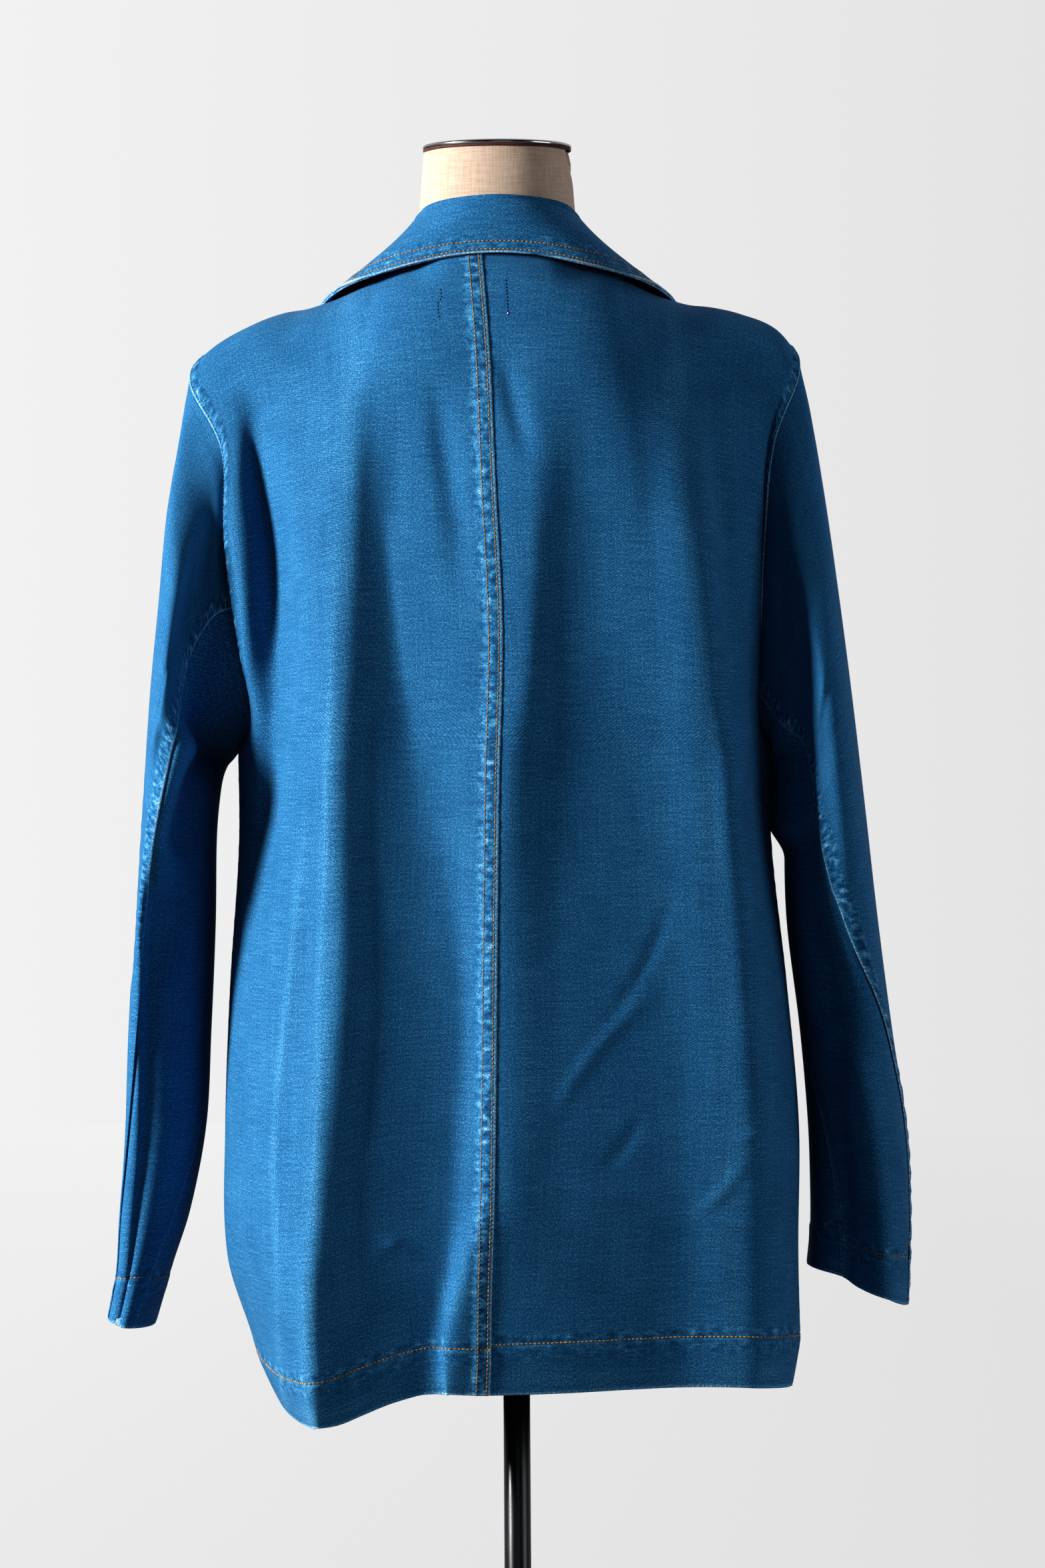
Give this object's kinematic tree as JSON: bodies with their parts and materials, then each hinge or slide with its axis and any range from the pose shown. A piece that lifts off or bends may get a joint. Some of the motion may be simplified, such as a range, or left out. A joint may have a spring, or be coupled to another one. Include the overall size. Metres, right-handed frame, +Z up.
{
  "type": "blazer on dress form",
  "caption": "Loose hip-length washed denim blazer with notched collar and patch pockets, buttoned on a limbless linen dress form with a steel neck cap, a pole and a round base.",
  "frame": {"origin": "centre of the round base's underside, on the floor", "axes": "+Z up the stand; the fronts of the blazer face -Y and its back +Y; +X is the wearer's left"},
  "size_m": [0.5785, 0.3338, 1.4998],
  "materials": {
    "washed_denim": "washed mid-blue denim twill, tan topstitching",
    "denim_wrong_side": "paler wrong side of the denim",
    "button_horn": "dark blue polished resin",
    "form_linen": "plain beige linen",
    "polished_steel": "polished",
    "black_steel": "satin black"
  },
  "bodies": {
    "root": {"back_left": "washed_denim", "back_right": "washed_denim", "front_left": "washed_denim", "front_right": "washed_denim", "lapel_left": "washed_denim", "lapel_right": "washed_denim", "collar_upper": "washed_denim", "sleeve_upper_left": "washed_denim", "sleeve_upper_right": "washed_denim", "sleeve_under_left": "washed_denim", "sleeve_under_right": "washed_denim", "pocket_left": "washed_denim", "pocket_right": "washed_denim", "collar_under": "denim_wrong_side", "button_top": "button_horn", "button_middle": "button_horn", "button_bottom": "button_horn", "form_torso": "form_linen", "form_cap": "polished_steel", "form_plate": "black_steel", "stand_pole": "black_steel", "stand_base": "black_steel"}
  },
  "joints": []
}
